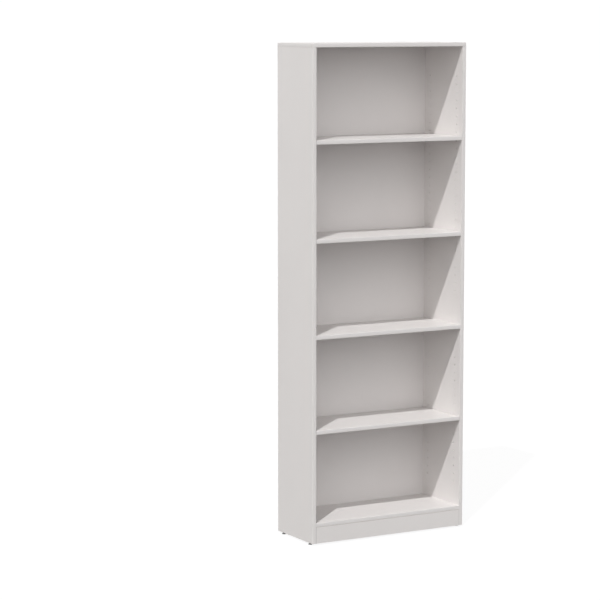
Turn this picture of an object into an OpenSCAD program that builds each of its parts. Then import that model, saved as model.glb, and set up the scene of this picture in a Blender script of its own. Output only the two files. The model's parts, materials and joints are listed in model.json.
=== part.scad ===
// Tall open bookcase: two side boards, a top that caps them, a bottom shelf over a kick plate,
// one fixed shelf, three shelves that move on pins in drilled rows, and four levelling glides.
//
// Frame: millimetres, +Z up, the front faces -Y, left is -X. The origin is on the floor,
// under the middle of the whole case, so the glide pads stand on z = 0.

/* [Overall size] */
// Width of the case over both side boards
case_w = 705; // [500:0.5:950]
// Depth of the case from the front edges to the rear edges
case_d = 279; // [230:0.5:420]
// Height of the case from the floor to the top face
case_h = 1968; // [1550:0.5:2400]

/* [Boards] */
// Thickness of the side, top, shelf and kick boards
board_t = 16; // [13:0.1:22]
// Thickness of the edge band glued to the visible edges
band_t = 1; // [0.5:0.1:2]
// Thickness of the hardboard back panel
back_t = 3; // [2.5:0.1:3.6]

/* [Levels] */
// Height of the kick plate under the bottom shelf
kick_h = 66; // [52:0.5:100]
// Height of the fixed shelf's underside above the floor
fixed_shelf_h = 818; // [600:1:950]

/* [Shelf pin holes] */
// Distance from one pin hole to the next up a row
hole_pitch = 32; // [24:0.5:50]
// Diameter of a pin hole
hole_d = 5; // [4:0.1:6.5]
// Depth of a pin hole
hole_depth = 10; // [8.5:0.5:12]
// Distance from a row of holes to the front or rear edge of the case
row_inset = 42; // [34:0.5:55]
// Distance from the underside of the top down to the highest hole
top_row_start = 120; // [60:1:200]
// Distance from the bottom shelf's face up to the lowest hole
bottom_row_start = 94; // [60:1:200]
// Least distance from the fixed shelf to the nearest hole above or below it
row_end_clear = 120; // [60:1:160]

/* [Shelf pins] */
// Length of the peg inside its hole
peg_len = 8; // [6:0.5:8.5]
// Diameter of the collar that stops the peg
collar_d = 9; // [7:0.1:12]
// Thickness of the collar
collar_t = 1; // [0.8:0.1:1.5]
// Length of the tongue that a shelf rests on
tongue_len = 12; // [8:0.5:16]
// Width of the tongue
tongue_w = 8; // [5:0.5:12]
// Thickness of the tongue
tongue_t = 2; // [1.5:0.1:3]

/* [Adjustable shelves] */
// Distance that a shelf's front edge stands back from the case's front
shelf_recess = 1; // [0:0.5:10]
// Gap between each end of a shelf and the side board
shelf_side_gap = 1; // [0.5:0.1:1.5]
// Gap between a shelf's rear edge and the back panel
shelf_back_gap = 2; // [1:0.5:10]

/* [Back panel seat] */
// Width of the rabbet that the back panel's rim lies in
rabbet_w = 8; // [6:0.5:10]
// Depth of that rabbet from the rear edges
rabbet_depth = 4; // [4:0.5:7]
// Gap round the rim of the back panel inside its rabbet
back_rim_gap = 1; // [0.5:0.1:2]

/* [Back nails] */
// Diameter of a nail's shank
nail_d = 1.6; // [1.2:0.1:2]
// Length of a nail's shank
nail_len = 18; // [14:0.5:22]
// Diameter of a nail's head
nail_head_d = 3.6; // [3:0.1:5]
// Thickness of a nail's head
nail_head_t = 0.8; // [0.5:0.1:0.9]
// Widest distance from one nail to the next
nail_spacing = 160; // [100:5:250]

/* [Levelling glides] */
// Height of the side boards above the floor with the glides screwed home
glide_h = 8; // [7.5:0.1:12]
// Distance from a glide's axis to the front or rear edge of the case
glide_inset = 33; // [26:0.5:60]
// Diameter of the foot pad
pad_d = 16; // [14:0.5:24]
// Height of the foot pad
pad_h = 5; // [4.4:0.1:5.4]
// Diameter of the ball on which the pad swivels
ball_d = 5; // [4.5:0.1:5.4]
// Diameter of the neck above the ball
neck_d = 3.4; // [2.5:0.1:3.6]
// Width of the hexagon across its corners
hex_d = 11; // [9:0.1:13]
// Diameter of the threaded stem
stem_d = 6; // [5:0.1:6.5]
// Length of the stem inside the side board
stem_len = 26; // [24:0.5:32]
// Outer diameter of the pressed-in sleeve
sleeve_d = 10; // [9:0.1:11]
// Length of the sleeve
sleeve_len = 25; // [18:0.5:30]
// Depth of the drilling for the sleeve and stem
sleeve_hole_depth = 36; // [34:0.5:50]

/* [Cam fittings] */
// Diameter of the cam
cam_d = 15; // [13:0.1:16]
// Distance from a board's end to the cam's centre
cam_setback = 34; // [28:0.5:40]
// Depth of the cam beyond the middle of its board
cam_cover = 4.5; // [4.3:0.1:4.6]
// Diameter of the cam bolt's shank
bolt_d = 6; // [5:0.1:6.4]
// Diameter of the cam bolt's head
bolt_head_d = 6.8; // [6:0.1:7]
// Diameter of the neck that the cam grips
bolt_neck_d = 4; // [3:0.1:5]
// Depth of the bolt's thread in the side board
bolt_thread_len = 11; // [8:0.5:11.5]
// Distance from the kick plate's top edge to its cams
kick_cam_drop = 22; // [18:0.5:26]

/* [Dowels] */
// Diameter of a dowel
dowel_d = 8; // [6:0.1:8]
// Length of the dowel inside the board's end
dowel_end_len = 22; // [15:0.5:30]
// Board left behind a blind dowel hole
dowel_web = 3; // [2.5:0.5:4]
// Distance from the front and rear edges to the shelf and top dowels
dowel_inset = 74; // [68:0.5:90]
// Distance from the kick plate's bottom edge to its dowels
kick_dowel_rise = 16; // [10:0.5:20]

/* [Top screws] */
// Diameter of the screw
screw_d = 6.4; // [5:0.1:7]
// Length of the screw inside the side board
screw_grip = 33; // [25:0.5:45]
// Diameter of the screw's head
screw_head_d = 10; // [9:0.1:11]
// Height of the screw's head
screw_head_h = 4; // [3:0.1:6]
// Width of the key socket across its flats
socket_w = 4; // [3:0.1:5]
// Diameter of the cover cap
cap_d = 12; // [11:0.1:13]
// Thickness of the cover cap
cap_t = 1; // [0.6:0.1:1.5]

/* [Clearances] */
// Gap between a shelf's underside and the tongues that carry it
seat_gap = 0.2; // [0.1:0.05:0.4]
// Radial gap between a peg and its hole
peg_clear = 0.05; // [0.02:0.01:0.1]
// Gap between a pin's collar and the side board
collar_gap = 0.1; // [0.05:0.05:0.2]
// Radial gap round dowels, cams, bolts, screws and sleeves in their drillings
fit_clear = 0.05; // [0.02:0.01:0.1]
// Radial gap between the stem and its sleeve, and between the ball and the pad
thread_clear = 0.1; // [0.05:0.05:0.15]
// Gap at the foot of a blind hole, and between a cam and the bolt inside it
end_clear = 1; // [0.5:0.1:1.5]
// Open joint between the kick plate and the bottom shelf
kick_joint = 0.3; // [0.1:0.1:0.8]
// Gap between the glide's hexagon and the side board
hex_gap = 0.3; // [0.2:0.1:0.5]

/* [Hidden] */
$fn = 64;
eps = 0.01;

LEFT = -1;
RIGHT = 1;
FRONT = -1;
REAR = 1;
SIDES = [LEFT, RIGHT];
ENDS = [FRONT, REAR];
SIDE_NAMES = ["left", "right"];
END_NAMES = ["front", "rear"];
ADJUSTABLE = [1, 2, 3];

// Planes of the case
front_y = -case_d / 2;
rear_y = case_d / 2;
inner_x = case_w / 2 - board_t;
side_bottom = glide_h;
side_top = case_h - board_t;
board_front_y = front_y + band_t;
back_face_y = rear_y - rabbet_depth;
bottom_z = side_bottom + kick_h;
row_y = case_d / 2 - row_inset;
glide_x = case_w / 2 - board_t / 2;
glide_y = case_d / 2 - glide_inset;
dowel_y = case_d / 2 - dowel_inset;

// Rows of holes: one group above the fixed shelf and one below it
upper_floor = fixed_shelf_h + board_t;
lower_floor = bottom_z + board_t;
upper_first = side_top - top_row_start;
lower_first = lower_floor + bottom_row_start;
upper_holes = [for (z = [upper_first:-hole_pitch:upper_floor + row_end_clear]) z];
lower_holes = [for (z = [lower_first:hole_pitch:fixed_shelf_h - row_end_clear]) z];

// Pins and shelves: each shelf takes the hole nearest to an even division of its bay
peg_d = hole_d - 2 * peg_clear;
shelf_rise = peg_d / 2 + seat_gap;
upper_bay = (side_top - upper_floor - 2 * board_t) / 3;
lower_bay = (fixed_shelf_h - lower_floor - board_t) / 2;
function nearest_hole(holes, z) =
    let (first = holes[0], step = holes[1] - holes[0])
    first + step * max(0, min(len(holes) - 1, round((z - shelf_rise - first) / step)));
pin_level = [
    nearest_hole(upper_holes, side_top - upper_bay - board_t),
    nearest_hole(upper_holes, upper_floor + upper_bay),
    nearest_hole(lower_holes, lower_floor + lower_bay)
];
shelf_len = 2 * (inner_x - shelf_side_gap);
shelf_front_y = front_y + shelf_recess;
shelf_rear_y = back_face_y - shelf_back_gap;

// Fittings
cam_depth = board_t / 2 + cam_cover;
cam_h = cam_depth - 2 * fit_clear;
cam_bore_d = bolt_head_d + 0.4;
bolt_bore_d = 8;
bolt_tip = cam_setback + 1.5;
bolt_head_len = 3;
bolt_neck_len = 6;
driver_w = 2;
driver_len = 9;
driver_depth = 2.5;
dowel_face_len = board_t - dowel_web - end_clear;
screw_inset = 42;
socket_depth = 3;
plug_len = 2;

// Glide heights, from the floor up
ball_z = ball_d / 2 + 0.9;
hex_top = glide_h - hex_gap;
hex_h = 1.6;
pad_rim = 1;

function pin_name(n, s, e) = str("shelf_", n, "_pin_", SIDE_NAMES[s], "_", END_NAMES[e]);
function glide_name(kind, s, e) = str("glide_", kind, "_", SIDE_NAMES[s], "_", END_NAMES[e]);

// ---- Shapes that repeat -------------------------------------------------------------------

// A board between two corners
module board(low, high) {
    translate(low) cube(high - low);
}

// A cylinder along X from x towards the given side
module rod_x(x, y, z, d, len, side) {
    translate([x, y, z]) rotate([0, side * 90, 0]) cylinder(d = d, h = len);
}

// A cylinder along Z, upwards
module rod_z(x, y, z, d, len) {
    translate([x, y, z]) cylinder(d = d, h = len);
}

// A dowel along X through the joint at a side board's inner face, grown by c for its drilling
module dowel_x(side, y, z, c = 0, c_end = 0) {
    rod_x(side * (inner_x - dowel_end_len - c_end), y, z, dowel_d + 2 * c,
        dowel_end_len + dowel_face_len + 2 * c_end, side);
}

// A dowel along Z through the joint under the top, grown by c for its drilling
module dowel_z(side, y, c = 0, c_end = 0) {
    rod_z(side * glide_x, y, side_top - dowel_end_len - c_end, dowel_d + 2 * c,
        dowel_end_len + dowel_face_len + 2 * c_end);
}

// A cam bolt along X: thread in the side board, shank, gripped neck and head
module cam_bolt(side, y, z) {
    shank_len = bolt_tip - bolt_head_len - bolt_neck_len;
    union() {
        rod_x(side * (inner_x - shank_len), y, z, bolt_d, shank_len + bolt_thread_len, side);
        rod_x(side * (inner_x - shank_len), y, z, bolt_neck_d, bolt_neck_len + eps, -side);
        rod_x(side * (inner_x - bolt_tip), y, z, bolt_head_d, bolt_head_len, side);
    }
}

// The two drillings that a cam bolt needs: one in the side board, one in the board's end
module bolt_holes(side, y, z) {
    rod_x(side * inner_x, y, z, bolt_d + 2 * fit_clear, bolt_thread_len + end_clear, side);
    rod_x(side * (inner_x - cam_setback), y, z, bolt_bore_d, cam_setback + eps, side);
}

// A cam, opening downwards from z = 0, with its radial bore towards +X and a cross for the driver
module cam_body() {
    difference() {
        cylinder(d = cam_d - 2 * fit_clear, h = cam_h);
        translate([-bolt_tip + cam_setback - end_clear, 0, board_t / 2])
            rotate([0, 90, 0]) cylinder(d = cam_bore_d, h = cam_d);
        for (turn = [45, 135])
            rotate([0, 0, turn]) translate([-driver_len / 2, -driver_w / 2, -eps])
                cube([driver_len, driver_w, driver_depth + eps]);
    }
}

// A cam in the underside of a board whose lower face is at z
module cam_under(side, y, z) {
    translate([side * (inner_x - cam_setback), y, z]) rotate([0, 0, side > 0 ? 0 : 180]) cam_body();
}

// The blind hole for such a cam
module cam_hole_under(side, y, z) {
    rod_z(side * (inner_x - cam_setback), y, z - eps, cam_d, cam_depth + eps);
}

// ---- Boards -------------------------------------------------------------------------------

// All drillings in one side board, drawn in place
module side_drillings(side) {
    for (y = [-row_y, row_y], z = concat(upper_holes, lower_holes))
        rod_x(side * (inner_x - eps), y, z, hole_d, hole_depth + eps, side);
    for (end = ENDS, z = [bottom_z, fixed_shelf_h]) {
        bolt_holes(side, end * row_y, z + board_t / 2);
        dowel_x(side, end * dowel_y, z + board_t / 2, fit_clear, end_clear);
    }
    bolt_holes(side, front_y + board_t / 2, bottom_z - kick_cam_drop);
    dowel_x(side, front_y + board_t / 2, side_bottom + kick_dowel_rise, fit_clear, end_clear);
    for (end = ENDS) {
        rod_z(side * glide_x, end * glide_y, side_bottom - eps, sleeve_d + 2 * fit_clear,
            sleeve_hole_depth + eps);
        rod_z(side * glide_x, end * (case_d / 2 - screw_inset), side_top - screw_grip - end_clear,
            screw_d + 2 * fit_clear, screw_grip + 2 * end_clear);
        dowel_z(side, end * dowel_y, fit_clear, end_clear);
    }
}

// The rabbet round the rear opening that takes the back panel
module back_rabbet() {
    board([-inner_x - rabbet_w, back_face_y, side_bottom - eps],
        [inner_x + rabbet_w, rear_y + eps, side_top + rabbet_w]);
}

// A side board, from the glides to the underside of the top
module side_board(side) {
    low_x = side > 0 ? inner_x : -case_w / 2;
    color([0.82, 0.81, 0.79]) difference() {
        board([low_x, board_front_y, side_bottom], [low_x + board_t, rear_y, side_top]);
        side_drillings(side);
        back_rabbet();
    }
}

// The top, which caps both side boards
module top_panel() {
    color([0.82, 0.81, 0.79]) difference() {
        board([-case_w / 2 + band_t, board_front_y, side_top],
            [case_w / 2 - band_t, rear_y, case_h]);
        back_rabbet();
        for (side = SIDES, end = ENDS) {
            dowel_z(side, end * dowel_y, fit_clear, end_clear);
            translate([side * glide_x, end * (case_d / 2 - screw_inset), 0]) {
                rod_z(0, 0, side_top - eps, screw_d + 2 * fit_clear, board_t);
                rod_z(0, 0, case_h - cap_t - screw_head_h - fit_clear,
                    screw_head_d + 2 * fit_clear, screw_head_h + cap_t);
                rod_z(0, 0, case_h - cap_t, cap_d + 2 * fit_clear, cap_t + eps);
            }
        }
    }
}

// A shelf fixed between the side boards, with its lower face at z
module shelf_between(z) {
    color([0.84, 0.83, 0.82]) difference() {
        board([-inner_x, board_front_y, z], [inner_x, back_face_y, z + board_t]);
        for (side = SIDES, end = ENDS) {
            cam_hole_under(side, end * row_y, z);
            bolt_holes(side, end * row_y, z + board_t / 2);
            dowel_x(side, end * dowel_y, z + board_t / 2, fit_clear, end_clear);
        }
    }
}

// The kick plate, flush with the front edges, with its cams in the rear face
module kick_plate() {
    color([0.81, 0.80, 0.79]) difference() {
        board([-inner_x, front_y, side_bottom],
            [inner_x, front_y + board_t, bottom_z - kick_joint]);
        for (side = SIDES) {
            translate([side * (inner_x - cam_setback), front_y + board_t + eps,
                bottom_z - kick_cam_drop])
                rotate([90, 0, 0]) cylinder(d = cam_d, h = cam_depth + eps);
            bolt_holes(side, front_y + board_t / 2, bottom_z - kick_cam_drop);
            dowel_x(side, front_y + board_t / 2, side_bottom + kick_dowel_rise,
                fit_clear, end_clear);
        }
    }
}

// The hardboard sheet in the rabbet, down to the bottom shelf's rear edge
module back_panel() {
    rim_x = inner_x + rabbet_w - back_rim_gap;
    color([0.72, 0.70, 0.68])
        board([-rim_x, back_face_y, bottom_z + back_rim_gap],
            [rim_x, back_face_y + back_t, side_top + rabbet_w - back_rim_gap]);
}

// A shelf that rests on four pins
module adjustable_shelf(n) {
    z = pin_level[n - 1] + shelf_rise;
    color([0.84, 0.83, 0.82])
        board([-shelf_len / 2, shelf_front_y + band_t, z],
            [shelf_len / 2, shelf_rear_y, z + board_t]);
}

// ---- Edge bands ---------------------------------------------------------------------------

// The band on the front edge of a side board
module side_band(side) {
    low_x = side > 0 ? inner_x : -case_w / 2;
    color([0.80, 0.79, 0.78])
        board([low_x, front_y, side_bottom], [low_x + board_t, board_front_y, side_top]);
}

// The bands on the front and both ends of the top
module top_edge_band() {
    color([0.80, 0.79, 0.78]) {
        board([-case_w / 2, front_y, side_top], [case_w / 2, board_front_y, case_h]);
        for (x = [-case_w / 2, case_w / 2 - band_t])
            board([x, board_front_y, side_top], [x + band_t, rear_y, case_h]);
    }
}

// The band on the front edge of a shelf of the given length
module shelf_band(len, y, z) {
    color([0.81, 0.80, 0.79])
        board([-len / 2, y, z], [len / 2, y + band_t, z + board_t]);
}

// ---- Shelf pins ---------------------------------------------------------------------------

// A spoon pin: a peg in its hole, a collar cut level with the seat, and a round-ended tongue
module shelf_pin(side, end, z) {
    seat = peg_d / 2;
    face_x = inner_x - collar_gap;
    color([0.72, 0.72, 0.73]) translate([0, end * row_y, z]) union() {
        rod_x(side * (face_x - collar_t / 2), 0, 0, peg_d, peg_len + collar_t / 2, side);
        difference() {
            rod_x(side * (face_x - collar_t), 0, 0, collar_d, collar_t, side);
            translate([side * (face_x - collar_t / 2), 0, seat + collar_d / 2])
                cube([2 * collar_t, 2 * collar_d, collar_d], center = true);
        }
        translate([side * (face_x - collar_t / 2), 0, seat - tongue_t])
            mirror([side > 0 ? 1 : 0, 0, 0]) linear_extrude(tongue_t) {
                translate([0, -tongue_w / 2])
                    square([collar_t / 2 + tongue_len - tongue_w / 2, tongue_w]);
                translate([collar_t / 2 + tongue_len - tongue_w / 2, 0]) circle(d = tongue_w);
            }
    }
}

// ---- Levelling glides ---------------------------------------------------------------------

// The sleeve pressed into the bottom edge of a side board
module glide_sleeve(side, end) {
    color([0.75, 0.74, 0.70]) translate([side * glide_x, end * glide_y, side_bottom])
        difference() {
            cylinder(d = sleeve_d, h = sleeve_len);
            translate([0, 0, -eps])
                cylinder(d = stem_d + 2 * thread_clear, h = sleeve_len + 2 * eps);
        }
}

// The stem: ball, neck, hexagon for a spanner, and the threaded rod
module glide_stem(side, end) {
    color([0.72, 0.72, 0.74]) translate([side * glide_x, end * glide_y, 0]) union() {
        translate([0, 0, ball_z]) sphere(d = ball_d);
        translate([0, 0, ball_z]) cylinder(d = neck_d, h = hex_top - ball_z - hex_h / 2);
        translate([0, 0, hex_top - hex_h]) cylinder(d = hex_d, h = hex_h, $fn = 6);
        translate([0, 0, hex_top - eps]) cylinder(d = stem_d, h = stem_len + hex_gap);
    }
}

// The round pad on the floor, with the socket that holds the ball
module glide_pad(side, end) {
    color([0.45, 0.45, 0.46]) translate([side * glide_x, end * glide_y, 0]) difference() {
        union() {
            cylinder(d1 = pad_d - 2 * pad_rim, d2 = pad_d, h = pad_rim);
            translate([0, 0, pad_rim]) cylinder(d = pad_d, h = pad_rim);
            translate([0, 0, 2 * pad_rim])
                cylinder(d1 = pad_d, d2 = ball_d + 4 * pad_rim, h = pad_h - 2 * pad_rim);
        }
        translate([0, 0, ball_z]) sphere(d = ball_d + 2 * thread_clear);
    }
}

// ---- Fittings and fasteners ---------------------------------------------------------------

// The cams under a shelf whose lower face is at z
module shelf_cams(z) {
    color([0.70, 0.70, 0.72]) for (side = SIDES, end = ENDS) cam_under(side, end * row_y, z);
}

// The bolts that those cams pull on
module shelf_cam_bolts(z) {
    color([0.70, 0.70, 0.72])
        for (side = SIDES, end = ENDS) cam_bolt(side, end * row_y, z + board_t / 2);
}

// The dowels that line up such a shelf
module shelf_dowels(z) {
    color([0.80, 0.68, 0.48])
        for (side = SIDES, end = ENDS) dowel_x(side, end * dowel_y, z + board_t / 2);
}

// The cams in the kick plate's rear face
module kick_plate_cams() {
    color([0.70, 0.70, 0.72]) for (side = SIDES)
        translate([side * (inner_x - cam_setback), front_y + board_t, bottom_z - kick_cam_drop])
            rotate([90, 0, 0]) rotate([0, 0, side > 0 ? 0 : 180]) cam_body();
}

// The bolts that they pull on
module kick_plate_cam_bolts() {
    color([0.70, 0.70, 0.72])
        for (side = SIDES) cam_bolt(side, front_y + board_t / 2, bottom_z - kick_cam_drop);
}

// The dowels that line up the kick plate
module kick_plate_dowels() {
    color([0.80, 0.68, 0.48])
        for (side = SIDES)
            dowel_x(side, front_y + board_t / 2, side_bottom + kick_dowel_rise);
}

// The screws down through the top, each with a hexagonal socket
module top_screws() {
    head_z = case_h - cap_t - screw_head_h;
    color([0.70, 0.70, 0.72]) for (side = SIDES, end = ENDS)
        translate([side * glide_x, end * (case_d / 2 - screw_inset), 0]) difference() {
            union() {
                rod_z(0, 0, side_top - screw_grip, screw_d, head_z - side_top + screw_grip + eps);
                rod_z(0, 0, head_z, screw_head_d, screw_head_h - fit_clear);
            }
            translate([0, 0, case_h - cap_t - socket_depth])
                cylinder(d = socket_w / cos(30), h = socket_depth + eps, $fn = 6);
        }
}

// The caps over those screws, level with the top face, each with a plug in the socket
module top_screw_caps() {
    color([0.82, 0.81, 0.79]) for (side = SIDES, end = ENDS)
        translate([side * glide_x, end * (case_d / 2 - screw_inset), 0]) union() {
            rod_z(0, 0, case_h - cap_t, cap_d, cap_t);
            rod_z(0, 0, case_h - cap_t - plug_len, socket_w - 2 * fit_clear, plug_len + eps);
        }
}

// The dowels under the top
module top_dowels() {
    color([0.80, 0.68, 0.48]) for (side = SIDES, end = ENDS) dowel_z(side, end * dowel_y);
}

// One nail, driven forwards through the back panel at x, z
module back_nail(x, z) {
    head_y = back_face_y + back_t;
    translate([x, head_y, z]) rotate([90, 0, 0]) union() {
        cylinder(d = nail_d, h = nail_len);
        translate([0, 0, -nail_head_t]) cylinder(d = nail_head_d, h = nail_head_t + eps);
    }
}

// Places along a run, evenly spaced and no wider apart than nail_spacing
function even_run(low, high) =
    let (n = ceil((high - low) / nail_spacing)) [for (i = [0:n]) low + (high - low) * i / n];

// Nails into both side boards, the top, the fixed shelf and the bottom shelf
module back_nails() {
    rim = rabbet_w / 2;
    nail_end = 60;
    color([0.62, 0.60, 0.58]) {
        for (side = SIDES, z = even_run(bottom_z + nail_end, side_top - nail_end))
            back_nail(side * (inner_x + rim), z);
        for (z = [bottom_z + board_t / 2, fixed_shelf_h + board_t / 2, side_top + rim])
            for (x = even_run(-inner_x + nail_end, inner_x - nail_end)) back_nail(x, z);
    }
}

// ---- Nodes --------------------------------------------------------------------------------

side_board(LEFT);  // left_side
side_board(RIGHT);  // right_side
top_panel();
shelf_between(bottom_z);  // bottom_shelf
shelf_between(fixed_shelf_h);  // fixed_shelf
kick_plate();
back_panel();

side_band(LEFT);  // left_side_edge_band
side_band(RIGHT);  // right_side_edge_band
top_edge_band();
shelf_band(2 * inner_x, front_y, bottom_z);  // bottom_shelf_edge_band
shelf_band(2 * inner_x, front_y, fixed_shelf_h);  // fixed_shelf_edge_band

top_screws();
top_screw_caps();
top_dowels();
shelf_cams(bottom_z);  // bottom_shelf_cams
shelf_cam_bolts(bottom_z);  // bottom_shelf_cam_bolts
shelf_dowels(bottom_z);  // bottom_shelf_dowels
shelf_cams(fixed_shelf_h);  // fixed_shelf_cams
shelf_cam_bolts(fixed_shelf_h);  // fixed_shelf_cam_bolts
shelf_dowels(fixed_shelf_h);  // fixed_shelf_dowels
kick_plate_cams();
kick_plate_cam_bolts();
kick_plate_dowels();
back_nails();

for (n = ADJUSTABLE) {
    adjustable_shelf(n);
    shelf_band(shelf_len, shelf_front_y, pin_level[n - 1] + shelf_rise);
}
for (n = ADJUSTABLE, s = [0, 1], e = [0, 1])
    shelf_pin(SIDES[s], ENDS[e], pin_level[n - 1]);
for (s = [0, 1], e = [0, 1]) {
    glide_sleeve(SIDES[s], ENDS[e]);
    glide_stem(SIDES[s], ENDS[e]);
    glide_pad(SIDES[s], ENDS[e]);
}
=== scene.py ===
"""Finish, fittings and stage for a tall open bookcase with adjustable shelves.

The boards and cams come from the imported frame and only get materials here. Edge bands, shelf pins,
levelling glides, dowels, bolts, screws, caps and nails are surfaces worked out with numpy.
All lengths in the code are metres; MM turns a maker's millimetres into them.
"""

import json
import math

import bpy
import numpy as np
from bpy.props import FloatProperty, FloatVectorProperty, IntProperty, PointerProperty
from bpy.types import Operator, Panel, PropertyGroup
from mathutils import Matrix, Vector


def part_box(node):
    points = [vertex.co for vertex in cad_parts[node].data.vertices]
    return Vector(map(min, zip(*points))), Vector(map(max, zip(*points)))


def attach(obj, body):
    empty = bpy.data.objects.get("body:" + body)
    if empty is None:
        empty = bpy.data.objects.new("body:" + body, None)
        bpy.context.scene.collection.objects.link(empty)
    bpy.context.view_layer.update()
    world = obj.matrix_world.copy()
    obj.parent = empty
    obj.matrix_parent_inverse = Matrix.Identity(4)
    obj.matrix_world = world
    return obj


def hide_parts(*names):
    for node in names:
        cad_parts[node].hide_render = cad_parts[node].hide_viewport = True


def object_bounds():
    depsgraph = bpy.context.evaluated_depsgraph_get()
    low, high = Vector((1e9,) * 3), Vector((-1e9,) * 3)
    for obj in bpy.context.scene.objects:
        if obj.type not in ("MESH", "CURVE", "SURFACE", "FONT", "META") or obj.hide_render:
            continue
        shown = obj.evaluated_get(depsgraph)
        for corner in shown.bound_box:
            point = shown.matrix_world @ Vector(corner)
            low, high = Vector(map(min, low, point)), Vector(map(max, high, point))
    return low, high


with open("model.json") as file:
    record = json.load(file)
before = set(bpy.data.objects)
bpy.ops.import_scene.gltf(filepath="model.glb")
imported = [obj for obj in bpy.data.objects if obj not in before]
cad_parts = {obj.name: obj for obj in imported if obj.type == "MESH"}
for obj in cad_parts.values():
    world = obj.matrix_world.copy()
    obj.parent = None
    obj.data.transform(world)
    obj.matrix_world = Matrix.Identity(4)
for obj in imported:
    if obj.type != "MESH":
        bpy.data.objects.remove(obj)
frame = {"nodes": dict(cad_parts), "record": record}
cad_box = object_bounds()

bl_info = {
    "name": "Bookcase with adjustable shelves",
    "version": (1, 0, 0),
    "blender": (4, 5, 0),
    "location": "3D View > Sidebar > Bookcase",
    "description": "Builds the finish, the fittings and the stage of a tall open bookcase",
    "category": "Object",
}

MM = 0.001
TAU = 2 * math.pi
SIDES = ("left", "right")
CORNERS = tuple((side, end) for side in SIDES for end in ("front", "rear"))
SHELVES = (1, 2, 3)
X, Y, Z = 0, 1, 2


# ---- Sizes and colours that a user would change ----


def colour_setting(name, description, default):
    """A colour setting, as scene-linear red, green and blue."""
    return FloatVectorProperty(
        name=name, description=description, subtype="COLOR", size=3, min=0, max=1, default=default)


class BookcaseColours(PropertyGroup):
    """Colours of the boards and fittings."""

    laminate: colour_setting("Laminate", "Melamine face of every board", (0.790, 0.763, 0.752))
    edge_band: colour_setting("Edge band", "Band on the visible edges", (0.785, 0.758, 0.750))
    back_face: colour_setting(
        "Back panel face", "Foil on the front of the hardboard back", (0.790, 0.763, 0.757))
    back_fibre: colour_setting(
        "Back panel fibre", "Bare rear of the hardboard back", (0.26, 0.155, 0.085))
    chips: colour_setting("Chipboard", "Core of the boards where it is cut", (0.47, 0.34, 0.21))
    beech: colour_setting("Beech", "Dowels", (0.60, 0.43, 0.26))
    zinc: colour_setting(
        "Zinc plating", "Cams, bolts, screws, sleeves and glide stems", (0.58, 0.60, 0.63))
    nickel: colour_setting("Nickel plating", "Shelf pins", (0.66, 0.64, 0.60))
    wire: colour_setting("Nail wire", "Back nails", (0.42, 0.40, 0.38))
    nylon: colour_setting("Pad nylon", "Glide pads", (0.28, 0.28, 0.285))
    drilling: colour_setting(
        "Drilled walls", "Walls of the drillings in the side boards", (0.80, 0.775, 0.76))


class BookcaseSizes(PropertyGroup):
    """Small sizes of the fittings that the frame doesn't hold."""

    arris: FloatProperty(
        name="Arris", description="Rounding of an edge band's front corners",
        unit="LENGTH", min=0.0002, max=0.00095, default=0.9 * MM)
    # Painted shade: the width of a band at each end of the kick plate whose colour is darkened to stand in
    # for the shadow in the gaps at the side boards.
    joint: FloatProperty(
        name="Joint line", description="Width of the shaded line at each end of the kick plate",
        unit="LENGTH", min=0, max=0.002, default=0.8 * MM)
    skin: FloatProperty(
        name="Laminate thickness", description="Depth of the melamine over the chipboard",
        unit="LENGTH", min=0.0001, max=0.001, default=0.25 * MM)
    glide_pitch: FloatProperty(
        name="Glide thread pitch", description="Rise of the glide's thread in one turn",
        unit="LENGTH", min=0.0005, max=0.002, default=1.0 * MM)
    screw_pitch: FloatProperty(
        name="Wood thread pitch", description="Rise of a wood thread in one turn",
        unit="LENGTH", min=0.001, max=0.004, default=2.6 * MM)
    flutes: IntProperty(
        name="Dowel flutes", description="Grooves round a dowel", min=8, max=40, default=22)


class BookcaseStage(PropertyGroup):
    """Light and camera."""

    sun_strength: FloatProperty(
        name="Key light", description="Strength of the key light", min=0, max=20, default=2.03)
    sun_spread: FloatProperty(
        name="Key light spread", description="Angle that the key light covers, which softens shadows",
        subtype="ANGLE", min=0, max=0.5, default=math.radians(1.3))
    sun_travel: FloatVectorProperty(
        name="Key light direction", description="Direction that the key light travels in",
        subtype="DIRECTION", size=3, default=(0.4645, 0.4387, -0.7692))
    sky_strength: FloatProperty(
        name="Fill light", description="Strength of the even light from all round",
        min=0, max=5, default=1.0)
    side_strength: FloatProperty(
        name="Side fill", description="Strength that the fill gains towards its bright side",
        min=0, max=5, default=0.30)
    side_way: FloatVectorProperty(
        name="Side fill direction", description="Direction of the fill's bright side",
        subtype="DIRECTION", size=3, default=(-0.82, -0.56, 0.10))
    side_colour: colour_setting(
        "Side fill colour", "Colour of what the fill gains on its bright side", (1.0, 0.965, 0.90))
    overhead_loss: FloatProperty(
        name="Overhead loss", description="Share of the fill that is missing straight overhead",
        min=0, max=1, default=0.85)
    floor_return: FloatProperty(
        name="Floor return", description="Share of the light that the floor throws back on the case",
        min=0, max=1, default=0.11)
    camera_place: FloatVectorProperty(
        name="Camera place", description="Where the camera stands",
        subtype="TRANSLATION", unit="LENGTH", size=3, default=(-4.757, -7.767, 2.0645))
    camera_tilt: FloatProperty(
        name="Camera tilt", description="How far the camera looks below the horizon",
        subtype="ANGLE", min=-1.5, max=1.5, default=math.radians(7.04))
    camera_turn: FloatProperty(
        name="Camera turn", description="Turn of the camera from looking along +Y, clockwise from above",
        subtype="ANGLE", min=-3.2, max=3.2, default=math.radians(29.68))
    camera_lens: FloatProperty(
        name="Lens", description="Focal length on a 36 mm sensor, in millimetres",
        min=10, max=400, default=137.1)


# ---- Surfaces ----
# A solid is (points, quads, triangles). Rings are arrays of shape (ring, place round it, xyz).


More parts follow.
